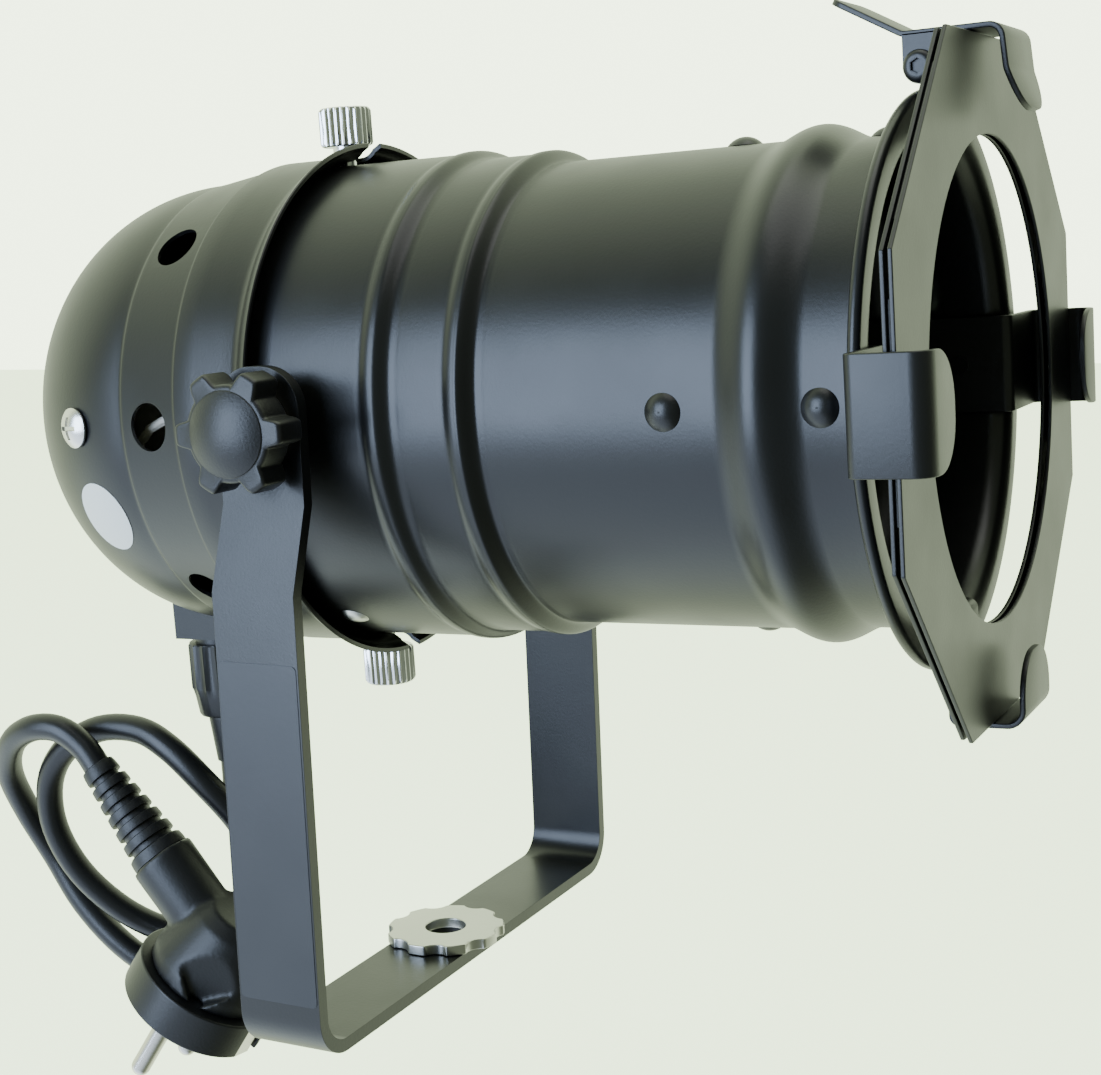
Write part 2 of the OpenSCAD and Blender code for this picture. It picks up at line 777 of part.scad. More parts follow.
function smooth(p, steps) =
  concat([for (i = [0:len(p) - 2], k = [0:steps - 1]) curve(p, i, k / steps)], [p[len(p) - 1]]);

// a round tube along a route; across is any direction the route never follows
module tube(p, r, sides, across) {
  last = len(p) - 1;
  points = [
    for (i = [0:last])
      let (t = unit(p[min(i + 1, last)] - p[max(i - 1, 0)]), v = unit(cross(t, across)), w = cross(t, v))
      for (j = [0:sides - 1]) p[i] + r * (cos(360 * j / sides) * v + sin(360 * j / sides) * w)
  ];
  walls = [
    for (i = [0:last - 1], j = [0:sides - 1])
      let (a = i * sides + j, b = i * sides + (j + 1) % sides)
      each [[a, a + sides, b + sides], [a, b + sides, b]]
  ];
  ends = [[for (j = [0:sides - 1]) j], [for (j = [sides - 1:-1:0]) last * sides + j]];
  polyhedron(points, concat(walls, ends));
}

module wire(route) {
  head() tube(smooth(route, 2), wire_r, 8, [1, 2, -1]);
}

module wire_live() {
  color("#d9d3c4") wire(live_route);
}

module wire_neutral() {
  color("#4a6f9c") wire(neutral_route);
}

module wire_earth() {
  color("#6f9a4a") wire(earth_route);
}

module cord() {
  color("#18191b") tube(smooth(cord_route, 2), cord_r, 12, [1, 0, 0]);
}

// ---- plug, drawn with z along its pins from the face ----
module plug() {
  translate(face_at) rotate(face_turn) rotate(face_spin) children();
}

module plug_neck_place() {
  translate(plug_neck) rotate(neck_turn) children();
}

module plug_relief() {
  color("#1b1c1f") plug_neck_place() rotate_extrude() polygon([
    [0, 0], [cord_r + 0.9, 0], [relief_r, -relief_len + 4], [relief_r, -relief_len], [0, -relief_len]
  ]);
}

module plug_body() {
  back = -30;
  color("#1a1b1e") union() {
    plug() hull($fn = 32) {
      translate([0, 0, -face_t - 0.05 - 4]) cylinder(r = plug_r - 2.5, h = 4, $fn = 32);
      translate([0, 0, back + 3]) cylinder(r = 12, h = 1, $fn = 32);
      translate([0, 0, back]) cylinder(r = 9, h = 1, $fn = 32);
    }
    hull() {
      plug() translate([0, 0, -19]) sphere(r = 8, $fn = 32);
      plug_neck_place() translate([0, 0, -relief_len - 2.05]) cylinder(r = relief_r + 0.8, h = 2, $fn = 32);
    }
  }
}

module plug_face() {
  notch = 8;
  color("#1e1f22") plug() difference() {
    translate([0, 0, -face_t]) cylinder(r = plug_r, h = face_t);
    for (s = [-1, 1]) {
      translate([0, s * pin_gap / 2, -face_t - 1]) cylinder(r = plug_pin_r + 0.05, h = face_t + 2);
      translate([s * plug_r, 0, -face_t / 2 + 1]) cube([5, notch, face_t], center = true);
    }
  }
}

module plug_pins() {
  color("#c3c5c4") plug() for (s = [-1, 1]) translate([0, s * pin_gap / 2, 0]) {
    translate([0, 0, -face_t]) cylinder(r = plug_pin_r, h = face_t + pin_len - plug_pin_r);
    translate([0, 0, pin_len - plug_pin_r]) sphere(r = plug_pin_r);
  }
}

module plug_earth_clips() {
  color("#bfc1be") plug() for (s = [-1, 1]) translate([s * (plug_r - 1.85), 0, -face_t / 2 + 1])
    cube([1.2, 6, face_t - 0.1], center = true);
}

yoke();
stand_nut();
clamp_knob_left();
clamp_knob_right();
clamp_stud_left();
clamp_stud_right();
clamp_washers();
pivot_spacers();
pivot_nuts();
barrel();
clip_rivets();
side_rivets();
clip_left();
clip_right();
clip_bottom();
latch_bracket();
latch();
latch_pin();
latch_spring();
gel_plate_front();
gel_plate_back();
rear_housing();
thumbscrew_top();
thumbscrew_bottom();
thumb_nuts();
earth_screw();
bracket_screw();
holder_bracket();
lamp_holder();
holder_screws();
socket_shell();
socket_contact();
lamp_reflector();
lamp_glass();
lamp_base();
lamp_tip();
gland_body();
gland_locknut();
gland_nut();
gland_seal();
wire_live();
wire_neutral();
wire_earth();
cord();
plug_relief();
plug_body();
plug_face();
plug_pins();
plug_earth_clips();
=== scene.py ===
import json
import math

import bmesh
import bpy
from mathutils import Matrix, Vector
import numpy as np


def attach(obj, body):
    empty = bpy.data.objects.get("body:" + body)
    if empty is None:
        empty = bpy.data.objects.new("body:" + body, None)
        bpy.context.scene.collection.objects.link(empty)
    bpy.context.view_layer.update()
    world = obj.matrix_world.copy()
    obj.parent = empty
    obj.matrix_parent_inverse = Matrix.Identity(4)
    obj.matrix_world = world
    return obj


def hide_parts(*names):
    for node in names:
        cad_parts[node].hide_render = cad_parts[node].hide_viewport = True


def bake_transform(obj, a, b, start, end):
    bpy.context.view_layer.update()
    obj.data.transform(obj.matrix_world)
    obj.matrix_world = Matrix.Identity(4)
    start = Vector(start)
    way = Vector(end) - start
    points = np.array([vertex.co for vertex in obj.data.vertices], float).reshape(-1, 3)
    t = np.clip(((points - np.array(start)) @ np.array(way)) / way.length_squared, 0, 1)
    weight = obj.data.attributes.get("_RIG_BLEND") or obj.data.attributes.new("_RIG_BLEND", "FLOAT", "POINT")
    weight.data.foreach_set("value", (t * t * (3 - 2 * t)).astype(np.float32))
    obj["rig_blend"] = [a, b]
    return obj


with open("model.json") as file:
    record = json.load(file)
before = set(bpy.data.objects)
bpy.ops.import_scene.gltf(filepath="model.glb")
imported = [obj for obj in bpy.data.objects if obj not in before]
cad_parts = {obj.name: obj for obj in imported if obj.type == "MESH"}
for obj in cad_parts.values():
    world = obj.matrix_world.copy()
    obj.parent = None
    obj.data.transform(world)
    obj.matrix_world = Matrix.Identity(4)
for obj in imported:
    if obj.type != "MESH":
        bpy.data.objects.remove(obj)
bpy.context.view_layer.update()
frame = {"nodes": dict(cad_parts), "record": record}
nodes = frame["nodes"]
MM = 0.001

# ---- camera ----
CAMERA_AT = Vector((-386.64, -234.03, 174.17)) * MM
CAMERA_RIGHT = Vector((0.45352, -0.89028, -0.04147))
CAMERA_UP = Vector((0.15973, 0.03541, 0.98652))
CAMERA_LENS = 62.18
back = CAMERA_RIGHT.cross(CAMERA_UP).normalized()
up = back.cross(CAMERA_RIGHT).normalized()
camera = bpy.data.objects.new("camera", bpy.data.cameras.new("camera"))
bpy.context.scene.collection.objects.link(camera)
camera.matrix_world = Matrix.Translation(CAMERA_AT) @ Matrix((CAMERA_RIGHT, up, back)).transposed().to_4x4()
camera.data.sensor_fit = "HORIZONTAL"
camera.data.sensor_width = 36
camera.data.lens = CAMERA_LENS
camera.data.clip_start = 0.01
bpy.context.scene.camera = camera


# ---- materials ----
SPECULAR, CLOUD_SCALE, RELIEF_HEIGHT = 0.5, 60.0, 0.0004


def material(name, colour, rough, metal=0.0, spread=0.12, grain=900.0, bump=0.04, rough_spread=0.06, coat=0.0):
    """A surface whose colour, gloss and relief vary: a fine grain over slow clouds."""
    m = bpy.data.materials.new(name)
    m.use_nodes = True
    tree = m.node_tree
    n, link = tree.nodes, tree.links.new
    bsdf = n["Principled BSDF"]
    bsdf.inputs["Metallic"].default_value = metal
    bsdf.inputs["Specular IOR Level"].default_value = SPECULAR
    bsdf.inputs["Coat Weight"].default_value = coat
    where = n.new("ShaderNodeTexCoord")
    place = n.new("ShaderNodeMapping")
    link(where.outputs["Object"], place.inputs["Vector"])
    slow = n.new("ShaderNodeTexNoise")
    slow.inputs["Scale"].default_value = CLOUD_SCALE
    slow.inputs["Detail"].default_value = 4
    fine = n.new("ShaderNodeTexNoise")
    fine.inputs["Scale"].default_value = grain
    fine.inputs["Detail"].default_value = 3
    link(place.outputs["Vector"], slow.inputs["Vector"])
    link(place.outputs["Vector"], fine.inputs["Vector"])
    tone = n.new("ShaderNodeMix")
    tone.data_type = "RGBA"
    tone.inputs["A"].default_value = (*[c * (1 - spread) for c in colour], 1)
    tone.inputs["B"].default_value = (*[min(1, c * (1 + spread)) for c in colour], 1)
    link(slow.outputs["Fac"], tone.inputs["Factor"])
    link(tone.outputs["Result"], bsdf.inputs["Base Color"])
    gloss = n.new("ShaderNodeMapRange")
    gloss.inputs["To Min"].default_value = max(0.02, rough - rough_spread)
    gloss.inputs["To Max"].default_value = rough + rough_spread
    link(slow.outputs["Fac"], gloss.inputs["Value"])
    link(gloss.outputs["Result"], bsdf.inputs["Roughness"])
    relief = n.new("ShaderNodeBump")
    relief.inputs["Strength"].default_value = bump
    relief.inputs["Distance"].default_value = RELIEF_HEIGHT
    link(fine.outputs["Fac"], relief.inputs["Height"])
    link(relief.outputs["Normal"], bsdf.inputs["Normal"])
    return m


looks = {
    "black_powder_coat": material("powder_coat", (0.0055, 0.0058, 0.0066), 0.33, grain=1500, bump=0.06),
    "black_frame_paint": material("frame_paint", (0.0065, 0.0068, 0.0076), 0.38, grain=1500, bump=0.06),
    "black_knob_plastic": material("knob_plastic", (0.007, 0.007, 0.008), 0.40, grain=1800, bump=0.12),
    "black_gland_plastic": material("gland_plastic", (0.007, 0.007, 0.008), 0.38, grain=1800, bump=0.08),
    "zinc_plate": material("zinc_plate", (0.60, 0.60, 0.56), 0.34, 1.0, 0.18, 700, 0.10, 0.10),
    "chrome_plate": material("chrome_plate", (0.80, 0.81, 0.82), 0.16, 1.0, 0.05, 900, 0.04, 0.05),
    "nickel_screw": material("nickel_screw", (0.72, 0.71, 0.68), 0.24, 1.0, 0.10, 900, 0.06, 0.08),
    "white_ceramic": material("white_ceramic", (0.78, 0.75, 0.68), 0.25, 0.0, 0.05, 500, 0.05, 0.08, 0.4),
    "brass_socket": material("brass_socket", (0.75, 0.55, 0.26), 0.30, 1.0, 0.12, 700, 0.06, 0.10),
    "lamp_mirror": material("lamp_mirror", (0.85, 0.86, 0.88), 0.14, 1.0, 0.04, 300, 0.03, 0.05),
    "lamp_cap_metal": material("lamp_cap_metal", (0.72, 0.72, 0.70), 0.34, 1.0, 0.10, 700, 0.06, 0.10),
    "black_rubber": material("plug_rubber", (0.008, 0.008, 0.009), 0.44, grain=1600, bump=0.12),
    "cord_jacket": material("cord_jacket", (0.008, 0.008, 0.009), 0.36, grain=1400, bump=0.08),
    "wire_sleeve": material("wire_sleeve", (0.62, 0.58, 0.50), 0.7, grain=2500, bump=0.5),
    "label_film": material("label_film", (0.022, 0.023, 0.027), 0.32, spread=0.05, grain=900, bump=0.05),
    "white_film": material("white_film", (0.74, 0.77, 0.74), 0.35, spread=0.03, grain=900, bump=0.05),
    "plug_face_plastic": material("plug_face", (0.008, 0.008, 0.009), 0.36, grain=1600, bump=0.08),
    "nickel_pins": material("nickel_pins", (0.66, 0.64, 0.60), 0.2, 1.0, 0.10, 900, 0.05, 0.08),
}
glass = material("lamp_lens", (0.9, 0.92, 0.94), 0.08, 0.0, 0.02, 60, 0.02, 0.03)
glass.node_tree.nodes["Principled BSDF"].inputs["Transmission Weight"].default_value = 0.9
looks["lamp_lens"] = glass

slots = {s["node"]: s["material_slot"] for s in frame["record"]["subparts"]}


def dress(obj, slot):
    obj.data.materials.clear()
    obj.data.materials.append(looks[slot])


CAD_SHARP = 28
for name, obj in nodes.items():
    dress(obj, slots[name])
    obj.data.shade_smooth()
    obj.data.set_sharp_from_angle(angle=math.radians(CAD_SHARP))

# ---- making pieces; lengths are in mm until a piece is put in place ----
PIVOT = Vector((0, 0, 136.5))
TILT = math.radians(1.7)
FRONT = Vector((0, -math.cos(TILT), math.sin(TILT)))
TOP = Vector((0, math.sin(TILT), math.cos(TILT)))
SIDE = Vector((1, 0, 0))


def head_point(x, n, u):
    """A point of the tilted head, in mm: x across, n above the lamp's axis, u forward of the pivot."""
    return PIVOT + x * SIDE + n * TOP + u * FRONT


def placed(origin, along, across):
    """The matrix that puts a piece drawn in mm with z along one direction at a place, in metres."""
    z = Vector(along).normalized()
    x = (Vector(across) - Vector(across).dot(z) * z).normalized()
    turn = Matrix((x, z.cross(x), z)).transposed().to_4x4()
    return Matrix.Scale(MM, 4) @ Matrix.Translation(Vector(origin)) @ turn


AXIS = placed(PIVOT, FRONT, SIDE)
IN_MM = Matrix.Scale(MM, 4)


def add(name, points, faces, where, body, slot, stands_for=(), sharp=32):
    """A mesh piece drawn in mm, put in place, dressed and riding on its body."""
    mesh = bpy.data.meshes.new(name)
    mesh.from_pydata([where @ Vector(p) for p in points], [], faces)
    mesh.validate()
    return finish_mesh(name, mesh, body, slot, stands_for, sharp)


def finish_mesh(name, mesh, body, slot, stands_for=(), sharp=32):
    """The object of a mesh that is in place, with its sharp edges, look, body and the CAD nodes it replaces."""
    mesh.shade_smooth()
    mesh.set_sharp_from_angle(angle=math.radians(sharp))
    obj = bpy.data.objects.new(name, mesh)
    bpy.context.scene.collection.objects.link(obj)
    dress(obj, slot)
    if body:
        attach(obj, body)
    if stands_for:
        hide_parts(*stands_for)
    return obj


def rings(levels, segments, shape=None, closed=False):
    """Points and faces of a stack of rings. Levels are (radius, height) or (radius, height, share), where the
    share says how much of the shape's depth is cut there."""
    points, faces = [], []
    for level in levels:
        radius, height = level[:2]
        share = level[2] if len(level) > 2 else 1
        for j in range(segments):
            a = 2 * math.pi * j / segments
            r = radius - (share * shape(a) if shape else 0)
            points.append((r * math.cos(a), r * math.sin(a), height))
    count = len(levels)
    for i in range(count if closed else count - 1):
        k = (i + 1) % count
        for j in range(segments):
            m = (j + 1) % segments
            faces.append((i * segments + j, i * segments + m, k * segments + m, k * segments + j))
    if not closed:
        faces.append(tuple(range(segments - 1, -1, -1)))
        faces.append(tuple((count - 1) * segments + j for j in range(segments)))
    return points, faces


def arc(centre, radius, start, end, steps):
    """Points on a circle from one angle to another, in degrees."""
    turns = [math.radians(start + (end - start) * i / steps) for i in range(steps + 1)]
    return [(centre[0] + radius * math.cos(a), centre[1] + radius * math.sin(a)) for a in turns]


def curve(points, steps):
    """A smooth line through the points."""
    p = [Vector(q) for q in points]
    last = len(p) - 1
    out = []
    for i in range(last):
        a, b, c, d = p[max(i - 1, 0)], p[i], p[i + 1], p[min(i + 2, last)]
        for k in range(steps):
            t = k / steps
            square, cube = (2 * a - 5 * b + 4 * c - d) * t**2 / 2, (3 * b - a - 3 * c + d) * t**3 / 2
            out.append(b + (c - a) * t / 2 + square + cube)
    return out + [p[last]]


POLE_R = 0.02


def inside(line, thick):
    """A profile moved inwards by the sheet's thickness."""
    out = []
    for i, p in enumerate(line):
        a, b = line[max(i - 1, 0)], line[min(i + 1, len(line) - 1)]
        d = Vector((b[0] - a[0], b[1] - a[1])).normalized()
        out.append((max(POLE_R, p[0] - thick * d.y), p[1] + thick * d.x))
    return out


def evaluated(obj, name):
    """The mesh of an object with its modifiers applied; the object goes."""
    bpy.context.view_layer.update()
    mesh = bpy.data.meshes.new_from_object(obj.evaluated_get(bpy.context.evaluated_depsgraph_get()))
    mesh.name = name
    bpy.data.objects.remove(obj)
    return mesh


def loose(name, mesh):
    """An object for a mesh that is only worked on."""
    obj = bpy.data.objects.new(name, mesh)
    bpy.context.scene.collection.objects.link(obj)
    return obj


def poured(name, bm):
    """The worked-on object of a bmesh, which goes."""
    mesh = bpy.data.meshes.new(name)
    bm.to_mesh(mesh)
    bm.free()
    return loose(name, mesh)


WELD = 2e-6


def node_shape(node):
    """A bmesh of a CAD node, with its split corners welded."""
    bm = bmesh.new()
    bm.from_mesh(nodes[node].data)
    bmesh.ops.remove_doubles(bm, verts=bm.verts, dist=WELD)
    return bm


FLAT_ANGLE, EDGE_ANGLE, MADE_SHARP = 0.4, 30, 40


def rounded(node, width, body, segments=2):
    """A CAD node's own shape with its sharp edges rounded off."""
    bm = node_shape(node)
    bmesh.ops.dissolve_limit(bm, angle_limit=math.radians(FLAT_ANGLE), verts=bm.verts, edges=bm.edges)
    obj = poured(node + "_work", bm)
    bevel = obj.modifiers.new("bevel", "BEVEL")
    bevel.width = width * MM
    bevel.segments = segments
    bevel.limit_method = "ANGLE"
    bevel.angle_limit = math.radians(EDGE_ANGLE)
    name = node + "_piece"
    made = finish_mesh(name, evaluated(obj, name), body, slots[node], (node,), MADE_SHARP)
    keep = made.modifiers.new("normals", "WEIGHTED_NORMAL")
    keep.keep_sharp = True
    return made


# ---- cord ----
CORD_D = 7.0
SEAL_END = 91.6
GLAND_U = -64
cord_start = head_point(0, -SEAL_END, GLAND_U)
PLUG_NECK = Vector((-21, 89, 44))
route = [cord_start, cord_start - 3.9 * TOP, cord_start - 8 * TOP] + [Vector(p) for p in (
    (3, 62, 27), (8, 61.5, 16), (11.5, 61.5, 5), (12, 65, -4), (10.5, 71.5, -9.5), (7.5, 80, -11.5), (3, 90, -9),
    (-3, 100, -2), (-8, 109, 9), (-11, 114, 22), (-12.5, 113, 35), (-13, 106, 45), (-12, 95, 51), (-11, 83, 51.5),
    (-11, 73.5, 47.5), (-9.5, 65, 39.5), (-5, 57.5, 28), (0.5, 53.5, 14), (5.5, 54, 0), (7, 58.5, -12),
    (7, 67, -19.5), (5, 78, -22.5), (1.5, 90, -20.5), (-1.5, 102, -13), (-3, 113, -2), (-4, 121, 11),
    (-8, 126, 24.5), (-14, 125.5, 37), (-19.5, 118.5, 47), (-22, 109, 52.5), (-21.8, 100, 53), (-21, 93.2, 48.9),
    PLUG_NECK)]
line = curve(route, 5)
CORD_SIDES = 20
points, faces, lengths = [], [], [0.0]
for i, p in enumerate(line):
    along = (line[min(i + 1, len(line) - 1)] - line[max(i - 1, 0)]).normalized()
    v = along.cross(SIDE).normalized()
    w = along.cross(v)
    for j in range(CORD_SIDES):
        a = 2 * math.pi * j / CORD_SIDES
        points.append((p + CORD_D / 2 * (math.cos(a) * v + math.sin(a) * w)) * MM)
    if i:
        lengths.append(lengths[-1] + (p - line[i - 1]).length)
        for j in range(CORD_SIDES):
            a, b = (i - 1) * CORD_SIDES + j, (i - 1) * CORD_SIDES + (j + 1) % CORD_SIDES
            faces.append((a, a + CORD_SIDES, b + CORD_SIDES, b))
faces.append(tuple(range(CORD_SIDES)))
faces.append(tuple(len(points) - 1 - j for j in range(CORD_SIDES)))
cord = add("mains_cord", points, faces, Matrix(), None, "cord_jacket", ("cord",), 60)
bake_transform(cord, "head", "yoke", start=cord_start * MM, end=PLUG_NECK * MM)
# the cord gives way along its own length: up to FREE_FROM mm it moves with the head, past FREE_TO mm it stays
FREE_FROM, FREE_TO = 20.0, 400.0
for i, s in enumerate(lengths):
    t = min(1, max(0, (s - FREE_FROM) / (FREE_TO - FREE_FROM)))
    for j in range(CORD_SIDES):
        cord.data.attributes["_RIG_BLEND"].data[i * CORD_SIDES + j].value = t * t * (3 - 2 * t)

# ---- barrel ----
SHEET = 1.0


def rib(high, low, u):
    """The profile of a raised rib at u where the barrel steps down from one radius to the next."""
    knots = [(high, u - 4), (high, u - 2.5), (high + 0.42, u - 1.2), (high + 0.55, u), (high + 0.3, u + 1.2),
             (low + 0.35, u + 3.2), (low, u + 4.6), (low, u + 6)]
    return [tuple(p) for p in curve([(*k, 0) for k in knots], 5)]


BARREL_R = (55.5, 54.0, 51.7, 51.0)
BARREL_BACK, RIB_US, NECK_U = -24, (22, 41), 119
BEAD_U, BEAD_W, BEAD_H, BEAD_STEPS = 95.5, 19, 3.1, 48
FLANGE, FLANGE_U, FLANGE_BEND = 55.0, 123, 4
LIP_AT, LIP_R = (58.2, 126.7), 1.3
ROUND = 192
outer = [(BARREL_R[0], BARREL_BACK)]
for i, u in enumerate(RIB_US):
    outer += [p[:2] for p in rib(BARREL_R[i], BARREL_R[i + 1], u)]
outer += [(BARREL_R[2], 60), (BARREL_R[2], 78)]
for i in range(BEAD_STEPS + 1):
    k = i / BEAD_STEPS
    r = BARREL_R[2] + (BARREL_R[3] - BARREL_R[2]) * k + BEAD_H * (1 - math.cos(2 * math.pi * k)) / 2
    outer.append((r, BEAD_U + BEAD_W * k))
outer.append((BARREL_R[3], NECK_U))
inner = [(r - SHEET, u) for r, u in outer]
profile = outer + arc((FLANGE, FLANGE_U), FLANGE_BEND, 180, 90, 10) + arc(LIP_AT, LIP_R, 167, 450, 20)
profile += arc((FLANGE, FLANGE_U), FLANGE_BEND + SHEET, 90, 180, 10) + inner[::-1]
points, faces = rings(profile, ROUND, closed=True)
add("barrel_shell", points, faces, AXIS, "head", "black_powder_coat", ("barrel",), 50)

# ---- rear housing ----
DOME_R, DOME_U, KNUCKLE_R, CROWN_R, BACK_U = 53.8, -46.57, 47.0, 62.0, -95.2
TURN = 63.04
outer = arc((0, CROWN_R + BACK_U), CROWN_R, -89.9, -TURN, 18)
outer += arc((DOME_R - KNUCKLE_R, DOME_U), KNUCKLE_R, -TURN, 0, 28)[1:]
# the two stepped seams and the band between them
outer += [(53.8, -45.4), (53.83, -44.9), (54.05, -44.55), (54.15, -44.2), (54.2, -43.6), (56.5, -28.6)]
outer += [(56.6, -27.9), (56.9, -27.55), (57.3, -27.3), (57.4, -26.9), (57.4, -22), (57.4, -15)]
outer += arc((61.4, -12), 4, 180, 125, 8) + [(59.75, -7.6), (60.15, -6.95)]
inner = inside(outer, SHEET)
rim = [(60.3, -6.6), (60.1, -6.35), (59.7, -6.4)]
points, faces = rings(outer + rim + inner[::-1], ROUND, closed=True)
mesh = bpy.data.meshes.new("housing")
mesh.from_pydata(points, [], faces)
housing = loose("housing_work", mesh)
VENTS, VENT_R, VENT_U, CUT_R = 8, 5.4, -36.25, 58
SLOT_HALF, SLOT_U, SLOT_FROM, SLOT_TO = 2.6, -14, 50, 66
cutter = bmesh.new()
for i in range(VENTS):
    a = math.radians(360 / VENTS * i)
    out = Vector((math.cos(a), math.sin(a), 0))
    turn = out.to_track_quat("Z", "Y").to_matrix().to_4x4()
    spot = Matrix.Translation(out * CUT_R + Vector((0, 0, VENT_U))) @ turn
    bmesh.ops.create_cone(cutter, cap_ends=True, segments=48, radius1=VENT_R, radius2=VENT_R, depth=20, matrix=spot)
for way in (1, -1):
    turns = [math.pi * k / 16 for k in range(17)]
    outline = [(SLOT_HALF * math.cos(t), SLOT_U - SLOT_HALF * math.sin(t)) for t in turns]
    outline += [(-SLOT_HALF, 0), (SLOT_HALF, 0)]
    top = [cutter.verts.new((x, way * SLOT_FROM, u)) for x, u in outline]
    far = [cutter.verts.new((x, way * SLOT_TO, u)) for x, u in outline]
    cutter.faces.new(top)
    cutter.faces.new(far[::-1])
    for k in range(len(outline)):
        m = (k + 1) % len(outline)
        cutter.faces.new((top[k], far[k], far[m], top[m]))
bmesh.ops.recalc_face_normals(cutter, faces=cutter.faces)
holes = poured("cutter", cutter)
cut = housing.modifiers.new("cut", "BOOLEAN")
cut.object = holes
cut.operation = "DIFFERENCE"
cut.solver = "EXACT"
mesh = evaluated(housing, "housing_shell")
bpy.data.objects.remove(holes)
mesh.transform(AXIS)
finish_mesh("housing_shell", mesh, "head", "black_powder_coat", ("rear_housing",), MADE_SHARP)

# ---- CAD shapes with rounded edges ----
rounded("yoke", 0.5, "yoke", segments=3)
for name, width in (("latch_bracket", 0.25), ("gel_plate_front", 0.22), ("gel_plate_back", 0.2)):
    rounded(name, width, "head")
rounded("stand_nut", 0.3, "stand_nut")
rounded("plug_face", 0.8, "yoke", segments=3)

# ---- folded strips: the clips and the latch ----
STRIP_T, STRIP_W, EDGE, END_HALF, NEAR = 1.2, 22.0, 0.3, 1.0, 0.02
EDGE_POINTS = 4


def bent(corners, radii, steps=7):
    """A line in a plane with each inner corner rounded to its radius."""
    out = [Vector(corners[0])]
    for i in range(1, len(corners) - 1):
        p = Vector(corners[i])
        a, b = (Vector(corners[i - 1]) - p).normalized(), (Vector(corners[i + 1]) - p).normalized()
        half = a.angle(b) / 2
        reach = radii[i - 1] / math.tan(half)
        centre = p + (a + b).normalized() * radii[i - 1] / math.sin(half)
        start, end = p + a * reach - centre, p + b * reach - centre
        for k in range(steps + 1):
            t = k / steps
            spoke = start * (1 - t) + end * t
            out.append(centre + spoke.normalized() * radii[i - 1])
    return out + [Vector(corners[-1])]


def strip(corners, radii, tip, root):
    """A folded strip of sheet along a line of (height, forward) points. Its last end is rounded to a radius of
    tip, and its first to root."""
    path = bent(corners, radii)
    run = [0.0]
    for a, b in zip(path, path[1:]):
        run.append(run[-1] + (b - a).length)
    marks = set(run)
    for k in range(11):
        d = math.radians(9 * k)
        marks.add(run[-1] - tip * (1 - math.cos(d)))
        marks.add(root * (1 - math.cos(d)))
    marks = sorted(marks)
    marks = [m for i, m in enumerate(marks) if not i or m - marks[i - 1] > NEAR]
    points, faces = [], []
    for m in marks:
        i = max(k for k in range(len(run) - 1) if run[k] <= m + 1e-6)
        t = min(1, (m - run[i]) / (run[i + 1] - run[i]))
        spot = path[i].lerp(path[i + 1], t)
        ahead = (path[min(i + 1, len(path) - 1)] - path[i]).normalized()
        if t < NEAR and i:
            ahead = ((path[i] - path[i - 1]).normalized() + ahead).normalized()
        face = Vector((-ahead.y, ahead.x))
        wide = STRIP_W / 2
        for radius, d in ((tip, run[-1] - m), (root, m)):
            if d < radius:
                wide = min(wide, STRIP_W / 2 - radius + math.sqrt(max(0, radius ** 2 - (radius - d) ** 2)))
        wide = max(wide, END_HALF)
        thick = STRIP_T / 2
        for y, z, start in ((wide, thick, 0), (-wide, thick, 90), (-wide, -thick, 180), (wide, -thick, 270)):
            for k in range(EDGE_POINTS):
                a = math.radians(start + 90 / (EDGE_POINTS - 1) * k)
                w = y - math.copysign(EDGE, y) + EDGE * math.cos(a)
                h = z - math.copysign(EDGE, z) + EDGE * math.sin(a)
                points.append((spot.x + face.x * h, w, spot.y + face.y * h))
    count = 4 * EDGE_POINTS
    for i in range(len(marks) - 1):
        for k in range(count):
            m = (k + 1) % count
            faces.append((i * count + k, i * count + m, (i + 1) * count + m, (i + 1) * count + k))
    faces.append(tuple(range(count - 1, -1, -1)))
    faces.append(tuple((len(marks) - 1) * count + k for k in range(count)))
    return points, faces


def joined(parts):
    """Several (points, faces) as one."""
    points, faces = [], []
    for p, f in parts:
        faces += [tuple(i + len(points) for i in face) for face in f]
        points += p
    return points, faces


def prism(low, high):
    """A solid between two outlines with as many points."""
    count = len(low)
    faces = [tuple(range(count)), tuple(range(2 * count - 1, count - 1, -1))]
    faces += [(i, count + i, count + (i + 1) % count, (i + 1) % count) for i in range(count)]
    return low + high, faces


LEG, CLIP_BACK, STEP_U, OUT_X, TAB_U, TAB_END = 47.9, 80, 128.9, 69.7, 143.6, 55.3
CLIP_BENDS, CLIP_TIP, CLIP_ROOT = (1.6, 1.6, 3.4), 9.5, 3.0
for name, turn in (("clip_left", 180), ("clip_right", 0), ("clip_bottom", 270)):
    corners = [(LEG, CLIP_BACK), (LEG, STEP_U), (OUT_X, STEP_U), (OUT_X, TAB_U), (TAB_END, TAB_U)]
    points, faces = strip(corners, CLIP_BENDS, CLIP_TIP, CLIP_ROOT)
    out = SIDE * math.cos(math.radians(turn)) + TOP * math.sin(math.radians(turn))
    add(name + "_piece", points, faces, placed(PIVOT, FRONT, out), "head", "black_frame_paint", (name,), 50)

